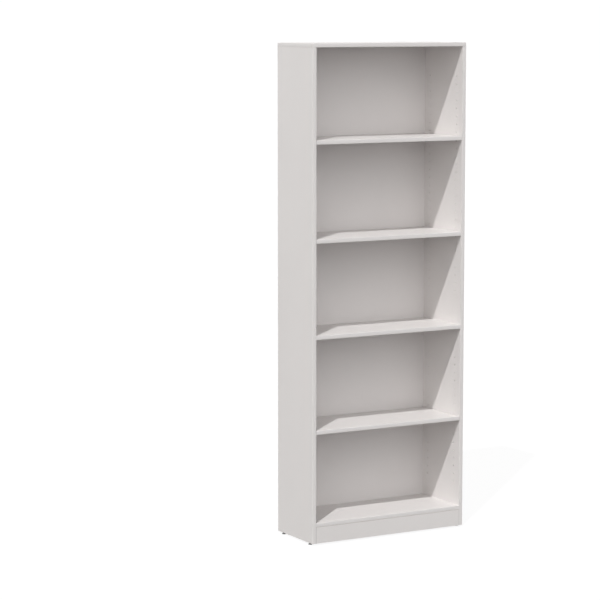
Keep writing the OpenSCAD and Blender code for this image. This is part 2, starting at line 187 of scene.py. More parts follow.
def quad_rows(rings, around, close=False):
    """Quads between each ring and the next, and round each ring; close joins the last to the first."""
    row, col = np.meshgrid(np.arange(rings if close else rings - 1), np.arange(around), indexing="ij")
    here, beside = row * around, (row + 1) % rings * around
    after = (col + 1) % around
    return np.stack([here + col, here + after, beside + after, beside + col], -1).reshape(-1, 4)


def outward(points, quads, triangles):
    """The same solid with its faces turned outwards, judged by the sign of the volume it encloses."""
    faces = np.concatenate([quads[:, [0, 1, 2]], quads[:, [0, 2, 3]], triangles])
    a, b, c = (points[faces[:, k]] for k in range(3))
    if np.einsum("ij,ij->", a, np.cross(b, c)) < 0:
        return points, quads[:, ::-1], triangles[:, ::-1]
    return points, quads, triangles


def ring_solid(rings):
    """A closed solid through rings in order, each end closed by a fan of triangles to its middle."""
    count, around = rings.shape[:2]
    points = np.concatenate([rings.reshape(-1, 3), rings[[0, -1]].mean(axis=1)])
    here = np.arange(around)
    after = (here + 1) % around
    last = (count - 1) * around
    pole = np.full(around, count * around)
    triangles = np.concatenate([
        np.stack([pole, after, here], -1),
        np.stack([pole + 1, last + here, last + after], -1)])
    return outward(points, quad_rows(count, around), triangles)


def ring_tube(rings):
    """A closed solid with a hole through it: the rings run out along one wall and back along the other."""
    count, around = rings.shape[:2]
    return outward(rings.reshape(-1, 3), quad_rows(count, around, True), np.zeros((0, 3), int))


def turned(heights, radii, around=48):
    """Rings about the Z axis: at height h and angle a a point is (r cos a, r sin a, h).

    radii is one number for each height, or one row of numbers, round the ring, for each height."""
    angle = np.arange(around) * TAU / around
    radii = np.broadcast_to(np.asarray(radii, float).reshape(len(heights), -1), (len(heights), around))
    heights = np.broadcast_to(np.asarray(heights, float)[:, None], radii.shape)
    return np.stack([radii * np.cos(angle), radii * np.sin(angle), heights], -1)


def profile(*steps):
    """A turned outline as two arrays, heights and radii, from (height, radius) pairs in millimetres."""
    heights, radii = np.array(steps, float).T * MM
    return heights, radii


def arc(height, radius, bend, start, end, steps=6):
    """(height, radius) pairs on an arc of radius bend about a centre, from angle start to end in
    degrees, where 0 points away from the axis and 90 points up."""
    angles = np.radians(np.linspace(start, end, steps))
    return [(height + bend * math.sin(a), radius + bend * math.cos(a)) for a in angles]


def thread(low, high, core, crest, pitch, around=40, rows_per_turn=8, fade=1.5):
    """Heights and radii of a screw thread between two heights.

    The radius is core + (crest - core) * ridge, where ridge is a triangle wave of
    height / pitch - angle / one turn, cut off flat at its crest, and it fades in over fade
    turns at each end."""
    heights = np.linspace(low, high, max(4, int((high - low) / pitch * rows_per_turn)))
    angle = np.arange(around) / around
    phase = (heights[:, None] / pitch - angle[None, :]) % 1
    ridge = np.clip(1.25 * (1 - np.abs(2 * phase - 1)), 0.12, 1)
    near_end = np.minimum(heights - low, high - heights) / (fade * pitch)
    ridge = ridge * np.clip(near_end, 0, 1)[:, None]
    return heights, core + (crest - core) * ridge


def stacked(*parts, around=40):
    """Turned rings of several (heights, radii) parts, one after the other."""
    return np.concatenate([turned(heights, radii, around) for heights, radii in parts])


def stadium_plate(length, width, top, thickness, edge, around=40):
    """A plate in the XY plane with one square end at x = 0 and one round end, its edges rounded.

    The outline is a half circle on the end of a rectangle; five rings shrink it by an edge
    rounding's sine and cosine at the top and the bottom."""
    half = width / 2
    angle = np.linspace(-math.pi / 2, math.pi / 2, around - 2)
    lean = np.radians([0, 45, 90])
    inset = np.concatenate([edge * (1 - np.sin(lean)), edge * (1 - np.sin(lean[::-1]))])
    drop = np.concatenate([edge * (1 - np.cos(lean)), thickness - edge * (1 - np.cos(lean[::-1]))])
    reach = (half - inset)[:, None]
    round_x = length - half + reach * np.cos(angle)
    round_y = reach * np.sin(angle)
    square_x = np.repeat(inset[:, None], 2, axis=1)
    square_y = reach * np.array([1.0, -1.0])
    x = np.concatenate([round_x, square_x], axis=1)
    y = np.concatenate([round_y, square_y], axis=1)
    z = np.broadcast_to((top - drop)[:, None], x.shape)
    return ring_solid(np.stack([x, y, z], -1))


def band_section(width, thickness, arris, steps=7):
    """Half-round cornered strip as (depth, across) pairs: depth 0 is the outer face."""
    bend = np.linspace(0, math.pi / 2, steps)
    depth = arris * (1 - np.sin(bend))
    across = width / 2 - arris * (1 - np.cos(bend))
    corner = np.stack([depth, across], -1)
    mirrored = corner[::-1] * (1, -1)
    back = np.array([[thickness, -width / 2], [thickness, width / 2]])
    return np.concatenate([corner[::-1], back[1:], back[:1], mirrored[::-1]])


def swept(section, path, face, across):
    """A section carried along a path: point = path - face * depth + across * offset at each step."""
    depth, offset = section.T
    rings = (path[:, None, :] - face[:, None, :] * depth[None, :, None]
             + np.asarray(across)[None, None, :] * offset[None, :, None])
    return ring_solid(rings)


def pointing(axis, sign=1):
    """The turn that lays a solid's own Z axis along a row axis, forwards or backwards."""
    turns = {
        X: [[0, 0, sign], [0, sign, 0], [-1, 0, 0]],
        Y: [[1, 0, 0], [0, 0, sign], [0, -sign, 0]],
        Z: [[1, 0, 0], [0, sign, 0], [0, 0, sign]],
    }
    return np.array(turns[axis], float)


def placed(solid, spots, turn=None):
    """Copies of a solid, turned by a matrix and set at each spot, joined into one."""
    points, quads, triangles = solid
    spots = np.asarray(spots, float).reshape(-1, 3)
    if turn is not None:
        points = points @ np.asarray(turn).T
    start = (np.arange(len(spots)) * len(points))[:, None, None]
    return ((points[None] + spots[:, None]).reshape(-1, 3),
            (quads[None] + start).reshape(-1, 4), (triangles[None] + start).reshape(-1, 3))


def joined(solids):
    """Several solids as one."""
    starts = np.cumsum([0] + [len(s[0]) for s in solids])
    return (np.concatenate([s[0] for s in solids]),
            np.concatenate([s[1] + k for s, k in zip(solids, starts)]),
            np.concatenate([s[2] + k for s, k in zip(solids, starts)]))


def make_piece(name, solid, material, node, sharp=35):
    """Turns a solid into an object that stands for a CAD node, on the node's body."""
    points, quads, triangles = solid
    mesh = bpy.data.meshes.new(name)
    mesh.from_pydata(points.tolist(), [], [*quads.tolist(), *triangles.tolist()])
    mesh.validate()
    mesh.shade_smooth()
    mesh.set_sharp_from_angle(angle=math.radians(sharp))
    mesh.materials.append(material)
    piece = bpy.data.objects.new(name, mesh)
    bpy.context.scene.collection.objects.link(piece)
    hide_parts(node)
    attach(piece, body_of(node))
    return piece


# ---- What the frame says ----


def body_of(node):
    """The body that a CAD node belongs to."""
    bodies = frame["record"]["behaviour"]["bodies"]
    return next(body for body, nodes in bodies.items() if node in nodes)


def span(node):
    """Lowest corner, highest corner and middle of a CAD node, as arrays."""
    low, high = (np.array(corner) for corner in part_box(node))
    return low, high, (low + high) / 2


def solid_boxes(node):
    """Boxes of the separate solids in a CAD node, as an array of (lowest, highest) corners.

    Every point starts with its own number, and points that share a place or an edge keep taking
    the lower of their numbers until nothing changes; each number left is one solid."""
    mesh = frame["nodes"][node].data
    points = np.empty(len(mesh.vertices) * 3, np.float32)
    mesh.vertices.foreach_get("co", points)
    points = points.reshape(-1, 3)
    edges = np.empty(len(mesh.edges) * 2, np.int32)
    mesh.edges.foreach_get("vertices", edges)
    _, spot = np.unique(np.round(points, 6), axis=0, return_inverse=True)
    spot = spot.reshape(-1)
    ends = spot[edges.reshape(-1, 2)]
    label = np.arange(spot.max() + 1)
    settled = False
    while not settled:
        lower = label[ends].min(axis=1)
        new = label.copy()
        np.minimum.at(new, ends[:, 0], lower)
        np.minimum.at(new, ends[:, 1], lower)
        new = new[new]
        settled = (new == label).all()
        label = new
    label = label[spot]
    return np.array([(points[label == k].min(0), points[label == k].max(0)) for k in np.unique(label)])


# ---- Shader node groups ----

SOCKETS = {"colour": "NodeSocketColor", "value": "NodeSocketFloat", "vector": "NodeSocketVector"}


class Tree:
    """A node tree with short ways to add and link nodes."""

    def __init__(self, tree):
        self.tree = tree

    def add(self, kind, **settings):
        node = self.tree.nodes.new(kind)
        for key, value in settings.items():
            setattr(node, key, value)
        return node

    def feed(self, socket, source):
        """Links an output to a socket, or sets the socket's own value."""
        if isinstance(source, bpy.types.NodeSocket):
            self.tree.links.new(source, socket)
        else:
            socket.default_value = source

    def math(self, operation, a, b=0.0, clamp=False):
        node = self.add("ShaderNodeMath", operation=operation, use_clamp=clamp)
        self.feed(node.inputs[0], a)
        self.feed(node.inputs[1], b)
        return node.outputs[0]

    def mix(self, share, a, b, kind="FLOAT"):
        """a where share is 0 and b where it is 1, for numbers or colours."""
        node = self.add("ShaderNodeMix", data_type=kind)
        first, second, out = (2, 3, 0) if kind == "FLOAT" else (6, 7, 2)
        self.feed(node.inputs[0], share)
        self.feed(node.inputs[first], a)
        self.feed(node.inputs[second], b)
        return node.outputs[out]

    def noise(self, vector, scale, detail=2.0, roughness=0.5):
        node = self.add("ShaderNodeTexNoise")
        self.feed(node.inputs["Vector"], vector)
        self.feed(node.inputs["Scale"], scale)
        self.feed(node.inputs["Detail"], detail)
        self.feed(node.inputs["Roughness"], roughness)
        return node.outputs["Fac"]

    def spread(self, value, low, high, to_low, to_high):
        """Carries a value from one range to another, held at its ends."""
        node = self.add("ShaderNodeMapRange", clamp=True)
        for socket, number in zip(node.inputs, (value, low, high, to_low, to_high)):
            self.feed(socket, number)
        return node.outputs["Result"]

    def stretch(self, vector, scale):
        """A vector multiplied by a size along each axis."""
        node = self.add("ShaderNodeVectorMath", operation="MULTIPLY")
        self.feed(node.inputs[0], vector)
        node.inputs[1].default_value = scale
        return node.outputs[0]

    def shade(self, colour, factor):
        """A colour made lighter or darker by a factor."""
        node = self.add("ShaderNodeVectorMath", operation="SCALE")
        self.feed(node.inputs[0], colour)
        self.feed(node.inputs["Scale"], factor)
        return node.outputs[0]


def node_group(name, inputs, outputs, build):
    """A shader node group made once. inputs and outputs are (name, kind, default) rows, and
    build(tree, sockets) returns the outputs in order."""
    if name in bpy.data.node_groups:
        return bpy.data.node_groups[name]
    group = bpy.data.node_groups.new(name, "ShaderNodeTree")
    for label, kind, default in inputs:
        socket = group.interface.new_socket(label, in_out="INPUT", socket_type=SOCKETS[kind])
        if default is not None:
            socket.default_value = default
    for label, kind in outputs:
        group.interface.new_socket(label, in_out="OUTPUT", socket_type=SOCKETS[kind])
    tree = Tree(group)
    entry, leave = tree.add("NodeGroupInput"), tree.add("NodeGroupOutput")
    for socket, source in zip(leave.inputs, build(tree, entry.outputs)):
        tree.feed(socket, source)
    return group


SURFACE_OUTPUTS = [("Colour", "colour"), ("Roughness", "value"), ("Height", "value")]


def surface_group(name, build, *inputs):
    """A node group that works out one surface from a place, a colour and the inputs given."""
    start = [("Vector", "vector", None), ("Colour", "colour", (0.5, 0.5, 0.5, 1))]
    return node_group(name, start + list(inputs), SURFACE_OUTPUTS, build)


def laminate_group():
    """Melamine: an even colour with a faint cloudiness, and a fine pearl texture under a satin gloss."""
    def build(tree, given):
        cloud = tree.noise(given["Vector"], 5.0, 3.0)
        pearl = tree.noise(given["Vector"], 900.0, 1.0)
        smear = tree.noise(given["Vector"], 22.0, 4.0, 0.6)
        tone = tree.spread(cloud, 0.3, 0.7, 0.988, 1.010)
        fleck = tree.spread(pearl, 0.25, 0.75, 0.992, 1.006)
        gloss = tree.spread(smear, 0.3, 0.7, -0.035, 0.045)
        return (tree.shade(given["Colour"], tree.math("MULTIPLY", tone, fleck)),
                tree.math("ADD", given["Roughness"], gloss), pearl)
    return surface_group("Laminate", build, ("Roughness", "value", 0.45))


def chip_group():
    """Chipboard where it is cut: chips in cells, each of its own tone, with dark gaps between.

    The caller squeezes the vector across the board, because the chips lie flat in it."""
    def build(tree, given):
        cells = tree.add("ShaderNodeTexVoronoi", feature="F1")
        tree.feed(cells.inputs["Vector"], given["Vector"])
        cells.inputs["Scale"].default_value = 340.0
        tone = tree.add("ShaderNodeSeparateColor")
        tree.feed(tone.inputs[0], cells.outputs["Color"])
        gap = tree.spread(cells.outputs["Distance"], 0.35, 0.8, 1.0, 0.55)
        light = tree.spread(tone.outputs[0], 0.0, 1.0, 0.72, 1.22)
        return (tree.shade(given["Colour"], tree.math("MULTIPLY", light, gap)), 0.88,
                tree.math("MULTIPLY", gap, light))
    return surface_group("Chipboard", build)


def fibre_group():
    """Fibres or grain along Z of the given vector: long thin noise over a broad tone."""
    def build(tree, given):
        strands = tree.noise(tree.stretch(given["Vector"], (1.0, 1.0, 0.06)), given["Scale"], 4.0, 0.65)
        broad = tree.noise(given["Vector"], 60.0, 2.0)
        tone = tree.math("MULTIPLY", tree.spread(strands, 0.3, 0.7, 0.76, 1.16),
                         tree.spread(broad, 0.3, 0.7, 0.92, 1.06))
        return (tree.shade(given["Colour"], tone), tree.spread(strands, 0.3, 0.7, 0.78, 0.62), strands)
    return surface_group("Fibres", build, ("Scale", "value", 1500.0))


def plating_group():
    """Plated metal: cloudy tone and gloss, with fine pitting."""
    def build(tree, given):
        cloud = tree.noise(given["Vector"], 260.0, 3.0, 0.6)
        pits = tree.noise(given["Vector"], 2600.0, 2.0)
        tone = tree.spread(cloud, 0.3, 0.7, 0.86, 1.08)
        gloss = tree.spread(cloud, 0.3, 0.7, 0.09, -0.06)
        return (tree.shade(given["Colour"], tone), tree.math("ADD", given["Roughness"], gloss), pits)
    return surface_group("Plating", build, ("Roughness", "value", 0.35))


def moulding_group():
    """Moulded plastic: a fine spark-eroded grain."""
    def build(tree, given):
        grain = tree.noise(given["Vector"], 1800.0, 2.0, 0.6)
        cloud = tree.noise(given["Vector"], 120.0, 2.0)
        return (tree.shade(given["Colour"], tree.spread(cloud, 0.3, 0.7, 0.95, 1.04)),
                tree.math("ADD", given["Roughness"], tree.spread(grain, 0.3, 0.7, -0.05, 0.06)), grain)
    return surface_group("Moulding", build, ("Roughness", "value", 0.5))


def layers_group():
    """One surface within a skin's depth of a board's two faces, and another surface elsewhere.

    Place is the distance along the board's thickness axis; a point belongs to the skin where
    abs(place - middle) is more than half the thickness less the skin."""
    def build(tree, given):
        off = tree.math("ABSOLUTE", tree.math("SUBTRACT", given["Place"], given["Middle"]))
        skin = tree.math("GREATER_THAN", off, tree.math("SUBTRACT", given["Half"], given["Skin"]))
        return (tree.mix(skin, given["Core Colour"], given["Face Colour"], "RGBA"),
                tree.mix(skin, given["Core Roughness"], given["Face Roughness"]),
                tree.mix(skin, given["Core Height"], given["Face Height"]))
    rows = [("Place", "value", 0.0), ("Middle", "value", 0.0), ("Half", "value", 0.008),
            ("Skin", "value", 0.00025)]
    for layer in ("Face", "Core"):
        rows += [(layer + " Colour", "colour", (0.7, 0.7, 0.7, 1)), (layer + " Roughness", "value", 0.5),
                 (layer + " Height", "value", 0.5)]
    return node_group("Board layers", rows, SURFACE_OUTPUTS, build)


# ---- Materials ----

CHIP_FLATNESS = 3.0  # a chip's length over its thickness
BARE_RIM = 1.0 * MM  # depth of chipboard that shows along a drilled board's edges
# The kick plate's ends carry painted shade, a darkened colour for the shadow in the gaps at the side boards.
JOINT_SHADE = 0.25  # share of the colour left at the outer end of a joint's shaded line


def start_material(name, metallic=0.0):
    """An empty material with its shader. Returns the material, its tree, its shader and the
    object coordinates."""
    material = bpy.data.materials.new(name)
    material.use_nodes = True
    material.node_tree.nodes.clear()
    tree = Tree(material.node_tree)
    shader = tree.add("ShaderNodeBsdfPrincipled")
    shader.inputs["Metallic"].default_value = metallic
    output = tree.add("ShaderNodeOutputMaterial")
    tree.feed(output.inputs["Surface"], shader.outputs[0])
    coordinates = tree.add("ShaderNodeTexCoord").outputs["Object"]
    return material, tree, shader, coordinates


def use_group(tree, group, **given):
    """A group node with its inputs fed by name; an underscore in a name stands for a space."""
    node = tree.add("ShaderNodeGroup", node_tree=group)
    for key, value in given.items():
        if isinstance(value, (tuple, list)) or hasattr(value, "hsv"):
            value = (*value[:3], 1.0)
        tree.feed(node.inputs[key.replace("_", " ")], value)
    return node.outputs


def finish_shader(tree, shader, surface, bump, depth):
    """Feeds a surface's colour, roughness and height to the shader; depth is the bump in metres."""
    tree.feed(shader.inputs["Base Color"], surface["Colour"])
    tree.feed(shader.inputs["Roughness"], surface["Roughness"])
    relief = tree.add("ShaderNodeBump")
    relief.inputs["Strength"].default_value = bump
    relief.inputs["Distance"].default_value = depth
    tree.feed(relief.inputs["Height"], surface["Height"])
    tree.feed(shader.inputs["Normal"], relief.outputs[0])


def layered(tree, place, middle, half, skin, face, core):
    """The face's surface within a skin's depth of middle - half and middle + half, or the core's."""
    given = {}
    for layer, surface in (("Face", face), ("Core", core)):
        for socket, _ in SURFACE_OUTPUTS:
            given[f"{layer}_{socket}"] = surface[socket]
    return use_group(tree, layers_group(), Place=place, Middle=float(middle), Half=float(half),
                     Skin=skin, **given)


def board_material(name, node, axis, face_colour, core_colour, skin, fibre=False, one_face=False,
                   drilling=None, joint=0.0):
    """Laminate on a board's two faces and chipboard on its cut edges and in its drillings.

    With fibre the core is hardboard, and with one_face only the front face has a skin. With a
    drilling colour the core takes it further in than a rim along the front, rear, upper and
    lower edges. A width of painted shade darkens the colour towards the board's two X ends, a
    stand-in for the shadow in the gaps where it meets its neighbours."""
    low, high, middle = span(node)
    half = (high - low) / 2
    material, tree, shader, place = start_material(name)
    parts = tree.add("ShaderNodeSeparateXYZ")
    tree.feed(parts.inputs[0], place)
    face = use_group(tree, laminate_group(), Vector=place, Colour=face_colour, Roughness=0.46)
    if fibre:
        core = use_group(tree, fibre_group(), Vector=place, Colour=core_colour, Scale=700.0)
    else:
        flat = [1.0, 1.0, 1.0]
        flat[axis] = CHIP_FLATNESS
        core = use_group(tree, chip_group(), Vector=tree.stretch(place, flat), Colour=core_colour)
    if drilling is not None:
        bare = core
        core = use_group(tree, laminate_group(), Vector=place, Colour=drilling, Roughness=0.6)
        for edge in (Y, Z):
            core = layered(tree, parts.outputs[edge], middle[edge], half[edge], BARE_RIM, bare, core)
    centre, reach = middle[axis], half[axis]
    if one_face:
        centre, reach = high[axis], 2 * half[axis]
    surface = layered(tree, parts.outputs[axis], centre, reach, skin, face, core)
    finish_shader(tree, shader, surface, 0.12, 0.06 * MM)
    # Painted shade: the colour darkens over the given width at each X end, down to JOINT_SHADE of itself at
    # the end, for the shadow in the gaps where the board meets its neighbours.
    if joint > 0:
        off = tree.math("ABSOLUTE", tree.math("SUBTRACT", parts.outputs[X], float(middle[X])))
        end = float(half[X])
        shaded = tree.shade(surface["Colour"], tree.spread(off, end - joint, end, 1.0, JOINT_SHADE))
        tree.feed(shader.inputs["Base Color"], shaded)
    return material


def plain_material(name, group, colour, bump, depth, metallic=0.0, turn=(0, 0, 0), **given):
    """A material of one surface group all over, made on first use; turn turns its pattern."""
    if name in bpy.data.materials:
        return bpy.data.materials[name]
    material, tree, shader, place = start_material(name, metallic)
    swap = tree.add("ShaderNodeMapping")
    tree.feed(swap.inputs["Vector"], place)
    swap.inputs["Rotation"].default_value = turn
    surface = use_group(tree, group, Vector=swap.outputs[0], Colour=colour, **given)
    finish_shader(tree, shader, surface, bump, depth)
    return material


def metal_material(name, colour, bump, depth, roughness):
    """A plated metal or a bare wire."""
    return plain_material(name, plating_group(), colour, bump, depth, 1.0, Roughness=roughness)


def zinc_material(colours):
    return metal_material("zinc_finish", colours.zinc, 0.15, 0.02 * MM, 0.38)


def beech_material(axis, colours):
    """Beech with its grain along X or Z."""
    turn = (0, math.pi / 2, 0) if axis == X else (0, 0, 0)
    return plain_material("dowel_beech_" + "xyz"[axis], fibre_group(), colours.beech, 0.3,
                          0.08 * MM, turn=turn)


def dress(node, material):
    """Gives a carried-over CAD node its material."""
    for slot in frame["nodes"][node].material_slots:
        slot.material = material


# ---- Operators ----


class BOOKCASE_OT_boards(Operator):
    """Layered board materials for the sides, top, shelves, kick plate and back panel"""

    bl_idname = "bookcase.boards"
    bl_label = "Finish the boards"

    def execute(self, context):
        colours, sizes = context.scene.bookcase_colours, context.scene.bookcase_sizes
        thickness_axis = {"left_side": X, "right_side": X, "kick_plate": Y, "top_panel": Z,
                          "bottom_shelf": Z, "fixed_shelf": Z}
        thickness_axis |= {f"adjustable_shelf_{n}": Z for n in SHELVES}
        for node, axis in thickness_axis.items():
            # The kick plate alone gets painted shade at its ends, for the shadow in the gaps at the side
            # boards.
            dress(node, board_material(
                node + "_board", node, axis, colours.laminate, colours.chips, sizes.skin,
                drilling=colours.drilling if axis == X else None,
                joint=sizes.joint if node == "kick_plate" else 0.0))
        dress("back_panel", board_material(
            "back_panel_board", "back_panel", Y, colours.back_face, colours.back_fibre, sizes.skin,
            fibre=True, one_face=True))
        return {"FINISHED"}


class BOOKCASE_OT_edge_bands(Operator):
    """Edge bands with softened corners on the front edges and round the top"""

    bl_idname = "bookcase.edge_bands"
    bl_label = "Make the edge bands"

    def straight(self, node, along, across, sizes, material):
        """One band on a front edge, its length along one axis and its width along another."""
        low, high, middle = span(node)
        section = band_section(high[across] - low[across], high[Y] - low[Y], sizes.arris)
        path = np.tile(middle, (2, 1))
        path[:, Y] = low[Y]
        path[:, along] = low[along], high[along]
        face = np.tile((0.0, -1.0, 0.0), (2, 1))
        make_piece(node + "_strip", swept(section, path, face, np.eye(3)[across]), material, node)

    def round_top(self, sizes, material):
        """The top's band: a section carried along one end, the front and the other end.

        The path is a rectangle's three sides with its two front corners as quarter circles."""
        low, high, middle = span("top_edge_band")
        board_low, _, _ = span("top_panel")
        thickness = board_low[X] - low[X]
        bend = 1.5 * thickness
        turn = np.radians(np.linspace(0, 90, 9))
        left = np.stack([low[X] + bend - bend * np.cos(turn), low[Y] + bend - bend * np.sin(turn)], -1)
        left_face = np.stack([-np.cos(turn), -np.sin(turn)], -1)
        right, right_face = left[::-1] * (-1, 1), left_face[::-1] * (-1, 1)
        ends = np.array([[low[X], high[Y]]]), np.array([[high[X], high[Y]]])
        flat_path = np.concatenate([ends[0], left, right, ends[1]])
        flat_face = np.concatenate([left_face[:1], left_face, right_face, right_face[-1:]])
        path = np.column_stack([flat_path, np.full(len(flat_path), middle[Z])])
        face = np.column_stack([flat_face, np.zeros(len(flat_face))])
        section = band_section(high[Z] - low[Z], thickness, sizes.arris)
        make_piece("top_edge_band_strip", swept(section, path, face, np.eye(3)[Z]), material,
                   "top_edge_band")

    def execute(self, context):
        sizes = context.scene.bookcase_sizes
        colours = context.scene.bookcase_colours
        material = plain_material("band_finish", laminate_group(), colours.edge_band, 0.10,
                                  0.05 * MM, Roughness=0.44)
        for side in SIDES:
            self.straight(side + "_side_edge_band", Z, X, sizes, material)
        for shelf in ["bottom_shelf", "fixed_shelf"] + [f"adjustable_shelf_{n}" for n in SHELVES]:
            self.straight(shelf + "_edge_band", X, Z, sizes, material)
        self.round_top(sizes, material)
        return {"FINISHED"}


class BOOKCASE_OT_shelf_pins(Operator):
    """Spoon pins under the adjustable shelves: a chamfered peg, a collar and a rounded tongue"""

    bl_idname = "bookcase.shelf_pins"
    bl_label = "Make the shelf pins"

    peg_length = 8.0 * MM
    seat = 2.45 * MM  # height of the tongue's top above the hole's axis

    def pin(self, length):
        """A pin with its hole's axis on Z and its tongue towards -Z, before it is turned.

        The collar is a disc whose radius is cut to seat / cos(angle from up), which makes its
        top flat."""
        peg, collar, collar_t, soft, around = 2.45 * MM, 4.5 * MM, 1.0 * MM, 0.2 * MM, 64
        tip = 0.8  # rounding of the peg's end, in millimetres
        tongue_w, tongue_t = 8.0 * MM, 2.0 * MM
        up = np.cos(np.arange(around) * TAU / around)
        cut = np.where(up > 0.05, (self.seat - 0.02 * MM) / np.maximum(up, 0.05), collar)
        disc = np.minimum(cut, collar)
        heights = [-collar_t, -collar_t, -collar_t + soft, -soft, 0.0]
        radii = [disc * 0.5, disc - soft, disc, disc, disc - soft]
        peg_h, peg_r = profile(*arc(self.peg_length / MM - tip, peg / MM - tip, tip, 0, 90, 5))
        heights += [0.0, 0.3 * MM, 0.6 * MM, *peg_h]
        radii += [np.full(around, r) for r in (peg + soft / 2, peg - soft, peg, *peg_r)]
        round_part = ring_solid(turned(np.array(heights), np.array(radii), around))
        plate = stadium_plate(length - self.peg_length - collar_t / 2, tongue_w, self.seat, tongue_t,
                              0.3 * MM)
        to_tongue = [[0, 0, 1], [0, 1, 0], [-1, 0, 0]]
        tongue = placed(plate, (0, 0, -collar_t / 2), to_tongue)
        return joined([round_part, tongue])

    def execute(self, context):
        colours = context.scene.bookcase_colours
        material = metal_material("nickel_finish", colours.nickel, 0.08, 0.01 * MM, 0.24)
        for n in SHELVES:
            for side, end in CORNERS:
                node = f"shelf_{n}_pin_{side}_{end}"
                low, high, middle = span(node)
                out = -1 if side == "left" else 1
                root = (low[X] if out < 0 else high[X]) - out * self.peg_length
                lie = [[0, 0, out], [0, -out, 0], [1, 0, 0]]
                spot = (root, middle[Y], high[Z] - self.seat)
                make_piece(node + "_spoon", placed(self.pin(high[X] - low[X]), spot, lie),
                           material, node)
        return {"FINISHED"}


class BOOKCASE_OT_glides(Operator):
    """Levelling glides: nylon pad, threaded stem with ball and hexagon, and barbed sleeve"""

    bl_idname = "bookcase.glides"
    bl_label = "Make the levelling glides"

    ball_height = 3.4  # from the sole to the ball's middle, in millimetres

    def stem(self, top_z, sizes):
        """Ball, neck, chamfered hexagon and thread as one turned surface.

        Round the hexagon the radius is flat / cos(angle from the nearest flat), cut to a cone at
        its top and bottom faces."""
        around, flat, ball = 48, 4.75 * MM, 2.5
        angle = np.arange(around) * TAU / around
        hexagon = flat / np.cos((angle + math.pi / 6) % (math.pi / 3) - math.pi / 6)
        bottom = profile(*arc(self.ball_height, 0.0, ball, -88, 44, 14), (5.6, 1.6), (6.0, 1.6))
        corner = 5.3 * MM
        nut_h = np.array([6.05, 6.1, 6.5, 7.3, 7.7]) * MM
        nut_r = np.array([np.minimum(hexagon, limit) for limit in
                          (3.0 * MM, corner - 0.25 * MM, 1.0, 1.0, corner - 0.25 * MM)])
        top = thread(7.8 * MM, top_z - 0.6 * MM, 2.42 * MM, 3.0 * MM, sizes.glide_pitch, around)
        tip = profile((top_z / MM - 0.5, 2.3), (top_z / MM, 1.8))
        return ring_solid(stacked(bottom, (nut_h, nut_r), top, tip, around=around))

    def pad(self):
        """A round foot: flat sole, rounded rim, dished shoulder, lipped hub and the ball's socket."""
        outline = [(0.0, 2.0), (0.0, 7.2), *arc(0.8, 7.2, 0.8, -80, 0, 6), (1.6, 8.0),
                   *arc(1.6, 7.4, 0.6, 10, 80, 5), (2.5, 6.2), (3.0, 5.1), (3.9, 4.6),
                   *arc(4.5, 4.0, 0.5, 10, 90, 5), (5.0, 2.5), (4.8, 2.2),
                   *arc(self.ball_height, 0.0, 2.6, 30, -85, 12)]
        return ring_solid(turned(*profile(*outline), 64))

    def sleeve(self, length):
        """A tube with three rows of barbs outside and a countersunk mouth inside."""
        barbs = [point for z in (6.0, 12.0, 18.0) for point in ((z, 4.7), (z + 3.5, 5.0), (z + 3.6, 4.7))]
        outline = [(0.0, 3.7), (0.0, 5.0), (4.5, 5.0), (4.6, 4.7), *barbs, (length - 0.6, 4.7),
                   (length, 4.3), (length, 3.3), (length - 0.2, 3.1), (0.6, 3.1)]
        return ring_tube(turned(*profile(*outline), 48))

    def execute(self, context):
        colours, sizes = context.scene.bookcase_colours, context.scene.bookcase_sizes
        zinc = zinc_material(colours)
        nylon = plain_material("nylon_finish", moulding_group(), colours.nylon, 0.3, 0.03 * MM,
                               Roughness=0.5)
        for side, end in CORNERS:
            place = f"{side}_{end}"
            _, high, middle = span("glide_stem_" + place)
            spot = (middle[X], middle[Y], 0)
            make_piece(f"glide_stem_{place}_screw", placed(self.stem(high[Z], sizes), spot), zinc,
                       "glide_stem_" + place)
            make_piece(f"glide_pad_{place}_foot", placed(self.pad(), spot), nylon,
                       "glide_pad_" + place)
            low, high, middle = span("glide_sleeve_" + place)
            tube = self.sleeve((high[Z] - low[Z]) / MM)
            make_piece(f"glide_sleeve_{place}_tube", placed(tube, (middle[X], middle[Y], low[Z])),
                       zinc, "glide_sleeve_" + place)
        return {"FINISHED"}


class BOOKCASE_OT_cam_fittings(Operator):
    """Cams, and threaded cam bolts with a gripped neck"""

    bl_idname = "bookcase.cam_fittings"
    bl_label = "Make the cam fittings"

    def bolt(self, length, sizes):
        """Head, neck, shank, collar and coarse thread along Z, the head's face at zero."""
        head = profile((0.0, 2.4), (0.3, 3.1), (0.8, 3.4), (2.4, 3.4), (3.0, 2.6), (3.2, 2.0), (8.8, 2.0))
        thread_start = length - 11 * MM
        shank = profile((9.0, 2.6), (9.4, 3.0), (thread_start / MM - 0.3, 3.0))
        screw = thread(thread_start, length - 1.2 * MM, 2.2 * MM, 3.0 * MM, sizes.screw_pitch * 0.7)
        tip = profile((length / MM - 0.5, 1.6), (length / MM, 1.1))
        return ring_solid(stacked(head, shank, screw, tip))

    def execute(self, context):
        colours, sizes = context.scene.bookcase_colours, context.scene.bookcase_sizes
        zinc = zinc_material(colours)
        for board in ("bottom_shelf", "fixed_shelf", "kick_plate"):
            dress(board + "_cams", zinc)
            node = board + "_cam_bolts"
            bolts = []
            for low, high in solid_boxes(node):
                out = 1 if low[X] > 0 else -1
                middle = (low + high) / 2
                inner = low[X] if out > 0 else high[X]
                bolts.append(placed(self.bolt(high[X] - low[X], sizes), (inner, middle[Y], middle[Z]),
                                    pointing(X, out)))
            make_piece(node + "_turned", joined(bolts), zinc, node)
        return {"FINISHED"}


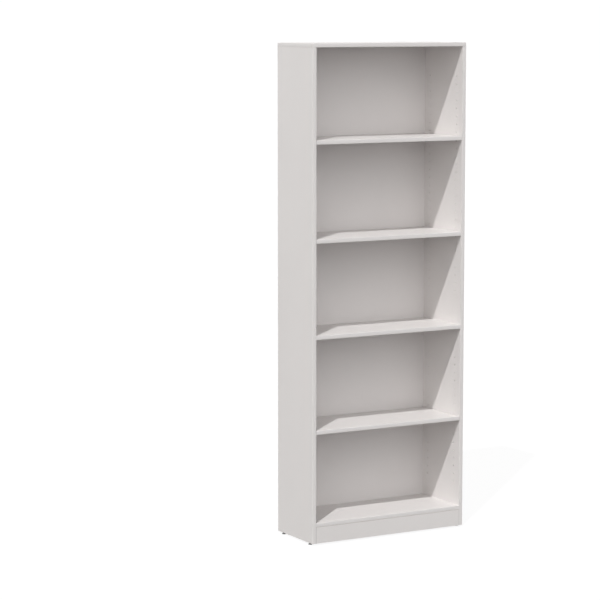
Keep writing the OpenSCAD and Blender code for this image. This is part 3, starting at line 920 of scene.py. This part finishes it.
class BOOKCASE_OT_dowels(Operator):
    """Fluted beech dowels"""

    bl_idname = "bookcase.dowels"
    bl_label = "Make the dowels"

    def dowel(self, length, flutes):
        """A fluted rod: radius less depth * abs(cos(flutes * angle / 2)) to the eighth power,
        with the ends tapered."""
        around = flutes * 6
        angle = np.arange(around) * TAU / around
        groove = 0.35 * MM * np.abs(np.cos(flutes * angle / 2)) ** 8
        heights = np.array([0, 0.5 * MM, 1.4 * MM, length / 2, length - 1.4 * MM, length - 0.5 * MM, length])
        taper = np.array([1.4, 0.5, 0.0, 0.0, 0.0, 0.5, 1.4])[:, None] * MM
        return ring_solid(turned(heights, 4.0 * MM - taper - groove[None, :], around))

    def execute(self, context):
        colours, sizes = context.scene.bookcase_colours, context.scene.bookcase_sizes
        for board, axis in (("top", Z), ("bottom_shelf", X), ("fixed_shelf", X), ("kick_plate", X)):
            node = board + "_dowels"
            rods = []
            for low, high in solid_boxes(node):
                spot = (low + high) / 2
                spot[axis] = low[axis]
                rods.append(placed(self.dowel(high[axis] - low[axis], sizes.flutes), spot, pointing(axis)))
            make_piece(node + "_fluted", joined(rods), beech_material(axis, colours), node)
        return {"FINISHED"}


class BOOKCASE_OT_top_screws(Operator):
    """Screws that hold the top, and their cover caps"""

    bl_idname = "bookcase.top_screws"
    bl_label = "Make the top screws"

    def screw(self, length, sizes):
        """Tip, wood thread, shank, countersunk head and hexagonal socket, upwards along Z."""
        around = 48
        angle = np.arange(around) * TAU / around
        socket = 2.0 * MM / np.cos(angle % (math.pi / 3) - math.pi / 6)
        tall = length / MM
        tip = profile((0.0, 0.9), (1.5, 1.9))
        body = thread(1.6 * MM, length - 17 * MM, 2.1 * MM, 3.2 * MM, sizes.screw_pitch, around)
        head = profile((tall - 16.8, 3.15), (tall - 4.2, 3.15), (tall - 2.6, 4.9), (tall - 0.4, 4.95),
                       (tall, 4.6), (tall, 2.6))
        depth = np.array([tall, tall - 2.9]) * MM
        walls = (depth, np.array([socket * 1.04, socket]))
        return ring_solid(stacked(tip, body, head, walls, around=around))

    def cap(self, thickness, plug):
        """A cap with a softened rim and a slightly domed face, and its plug below, face at zero."""
        outline = [(-thickness - plug, 1.5), (-thickness - plug + 0.3, 1.9), (-thickness, 1.95),
                   (-thickness, 5.7), (-thickness + 0.15, 5.95), (-0.35, 5.95),
                   *arc(-0.35, 5.65, 0.3, 0, 80, 5), (-0.02, 4.0), (0.0, 1.5)]
        return ring_solid(turned(*profile(*outline), 64))

    def execute(self, context):
        colours, sizes = context.scene.bookcase_colours, context.scene.bookcase_sizes
        boxes = solid_boxes("top_screws")
        low, high = boxes[:, 0], boxes[:, 1]
        spots = (low + high) / 2
        spots[:, Z] = low[:, Z]
        solid = self.screw(high[0][Z] - low[0][Z], sizes)
        make_piece("top_screws_turned", placed(solid, spots), zinc_material(colours), "top_screws")
        boxes = solid_boxes("top_screw_caps")
        spots = boxes.mean(axis=1)
        spots[:, Z] = boxes[:, 1, Z]
        plastic = plain_material("cap_finish", moulding_group(), colours.laminate, 0.2, 0.02 * MM,
                                 Roughness=0.45)
        make_piece("top_screw_caps_moulded", placed(self.cap(1.0, 2.0), spots), plastic,
                   "top_screw_caps")
        return {"FINISHED"}


class BOOKCASE_OT_back_nails(Operator):
    """Nails that hold the back panel in its rabbet"""

    bl_idname = "bookcase.back_nails"
    bl_label = "Make the back nails"

    def nail(self, length, head):
        """A pointed wire with grip rings under a domed head, the point at zero."""
        tall = length / MM
        rings = [point for z in np.arange(tall - 4.4, tall - 1.6, 0.7)
                 for point in ((z, 0.8), (z + 0.35, 0.74))]
        outline = [(0.0, 0.08), (1.6, 0.8), *rings, (tall - 0.8, 0.8), (tall - 0.7, head - 0.15),
                   (tall - 0.5, head), (tall - 0.25, head - 0.1), (tall - 0.05, head * 0.6),
                   (tall, head * 0.25)]
        return ring_solid(turned(*profile(*outline), 16))

    def execute(self, context):
        colours = context.scene.bookcase_colours
        boxes = solid_boxes("back_nails")
        size = boxes[:, 1] - boxes[:, 0]
        spots = boxes.mean(axis=1)
        spots[:, Y] = boxes[:, 0, Y]
        wire = metal_material("wire_finish", colours.wire, 0.15, 0.02 * MM, 0.45)
        solid = self.nail(float(size[0][Y]), float(size[0][X]) / 2 / MM)
        make_piece("back_nails_ringed", placed(solid, spots, pointing(Y)), wire, "back_nails")
        return {"FINISHED"}


class BOOKCASE_OT_stage(Operator):
    """Pale floor, even studio light with one key light, and the camera"""

    bl_idname = "bookcase.stage"
    bl_label = "Set the stage"

    def floor(self, stage):
        """A wide pale floor at the height of the glides' soles, nearly shadowless to the camera."""
        reach, below = 60.0, 0.2 * MM
        paper_tone, glow_strength, glow_share = 0.80, 1.06, 0.86
        mesh = bpy.data.meshes.new("studio_floor")
        corners = np.array([(-1, -1), (1, -1), (1, 1), (-1, 1)]) * reach
        level = np.full((4, 1), cad_box[0][Z] - below)
        mesh.from_pydata(np.hstack([corners, level]).tolist(), [], [(0, 1, 2, 3)])
        floor = bpy.data.objects.new("studio_floor", mesh)
        bpy.context.scene.collection.objects.link(floor)
        material = bpy.data.materials.new("studio_floor")
        material.use_nodes = True
        material.node_tree.nodes.clear()
        tree = Tree(material.node_tree)
        seen = tree.add("ShaderNodeLightPath").outputs["Is Camera Ray"]
        paper = tree.add("ShaderNodeBsdfDiffuse")
        tree.feed(paper.inputs["Color"], tree.mix(
            seen, (*[stage.floor_return] * 3, 1), (*[paper_tone] * 3, 1), "RGBA"))
        glow = tree.add("ShaderNodeEmission")
        glow.inputs["Strength"].default_value = glow_strength
        blend = tree.add("ShaderNodeMixShader")
        tree.feed(blend.inputs[0], tree.math("MULTIPLY", seen, glow_share))
        tree.feed(blend.inputs[1], paper.outputs[0])
        tree.feed(blend.inputs[2], glow.outputs[0])
        tree.feed(tree.add("ShaderNodeOutputMaterial").inputs["Surface"], blend.outputs[0])
        mesh.materials.append(material)

    def light(self, stage):
        """A white surround, plus a key light from the upper left in front.

        The surround loses a share of its strength with the square of how far up it looks, and
        gains a warm part that grows with the cosine of the angle from its bright side."""
        backdrop_strength = 1.02
        world = bpy.data.worlds.new("studio")
        bpy.context.scene.world = world
        world.use_nodes = True
        world.node_tree.nodes.clear()
        tree = Tree(world.node_tree)
        fill, side, backdrop = (tree.add("ShaderNodeBackground") for _ in range(3))
        around = tree.add("ShaderNodeTexCoord").outputs["Generated"]
        way = tree.add("ShaderNodeSeparateXYZ")
        tree.feed(way.inputs[0], around)
        up = tree.math("POWER", tree.math("MAXIMUM", way.outputs[Z], 0.0), 2.0)
        lost = tree.math("MULTIPLY", up, stage.overhead_loss * stage.sky_strength)
        tree.feed(fill.inputs["Strength"], tree.math("SUBTRACT", stage.sky_strength, lost))
        fill.inputs["Color"].default_value = (1, 1, 1, 1)
        lean = tree.add("ShaderNodeVectorMath", operation="DOT_PRODUCT")
        tree.feed(lean.inputs[0], around)
        lean.inputs[1].default_value = stage.side_way
        gain = tree.math("MULTIPLY", lean.outputs["Value"], stage.side_strength)
        tree.feed(side.inputs["Strength"], tree.math("MAXIMUM", gain, 0.0))
        side.inputs["Color"].default_value = (*stage.side_colour, 1)
        both = tree.add("ShaderNodeAddShader")
        tree.feed(both.inputs[0], fill.outputs[0])
        tree.feed(both.inputs[1], side.outputs[0])
        backdrop.inputs["Color"].default_value = (1, 1, 1, 1)
        backdrop.inputs["Strength"].default_value = backdrop_strength
        blend = tree.add("ShaderNodeMixShader")
        tree.feed(blend.inputs[0], tree.add("ShaderNodeLightPath").outputs["Is Camera Ray"])
        tree.feed(blend.inputs[1], both.outputs[0])
        tree.feed(blend.inputs[2], backdrop.outputs[0])
        tree.feed(tree.add("ShaderNodeOutputWorld").inputs["Surface"], blend.outputs[0])
        lamp = bpy.data.lights.new("key_light", "SUN")
        lamp.energy = stage.sun_strength
        lamp.angle = stage.sun_spread
        key = bpy.data.objects.new("key_light", lamp)
        key.rotation_mode = "QUATERNION"
        key.rotation_quaternion = stage.sun_travel.to_track_quat("-Z", "Y")
        bpy.context.scene.collection.objects.link(key)

    def camera(self, stage):
        """A long lens a little above the top, turned towards the bookcase and tilted down."""
        data = bpy.data.cameras.new("camera")
        data.lens = stage.camera_lens
        data.sensor_width = 36.0
        data.clip_end = 200.0
        camera = bpy.data.objects.new("camera", data)
        camera.location = stage.camera_place
        camera.rotation_euler = (math.pi / 2 - stage.camera_tilt, 0.0, -stage.camera_turn)
        bpy.context.scene.collection.objects.link(camera)
        bpy.context.scene.camera = camera

    def execute(self, context):
        stage = context.scene.bookcase_stage
        self.floor(stage)
        self.light(stage)
        self.camera(stage)
        context.scene.view_settings.view_transform = "Standard"
        return {"FINISHED"}


# ---- Panel and registration ----

STEPS = (
    BOOKCASE_OT_stage, BOOKCASE_OT_boards, BOOKCASE_OT_edge_bands, BOOKCASE_OT_shelf_pins,
    BOOKCASE_OT_glides, BOOKCASE_OT_cam_fittings, BOOKCASE_OT_dowels, BOOKCASE_OT_top_screws,
    BOOKCASE_OT_back_nails,
)
SETTINGS = {
    "bookcase_colours": BookcaseColours,
    "bookcase_sizes": BookcaseSizes,
    "bookcase_stage": BookcaseStage,
}


class BOOKCASE_PT_panel(Panel):
    """Lists the steps and the settings"""

    bl_idname = "BOOKCASE_PT_panel"
    bl_label = "Bookcase"
    bl_space_type = "VIEW_3D"
    bl_region_type = "UI"
    bl_category = "Bookcase"

    def draw(self, context):
        for step in STEPS:
            self.layout.operator(step.bl_idname)
        for name, group in SETTINGS.items():
            box = self.layout.box()
            for key in group.__annotations__:
                box.prop(getattr(context.scene, name), key)


def register():
    for group in SETTINGS.values():
        bpy.utils.register_class(group)
    for name, group in SETTINGS.items():
        setattr(bpy.types.Scene, name, PointerProperty(type=group))
    for cls in (*STEPS, BOOKCASE_PT_panel):
        bpy.utils.register_class(cls)


def unregister():
    for cls in (BOOKCASE_PT_panel, *reversed(STEPS)):
        bpy.utils.unregister_class(cls)
    for name, group in SETTINGS.items():
        delattr(bpy.types.Scene, name)
        bpy.utils.unregister_class(group)


def main():
    """Registers the settings, steps and panel, and runs every step in order."""
    register()
    for step in STEPS:
        family, action = step.bl_idname.split(".")
        getattr(getattr(bpy.ops, family), action)()


if __name__ == "__main__":
    main()
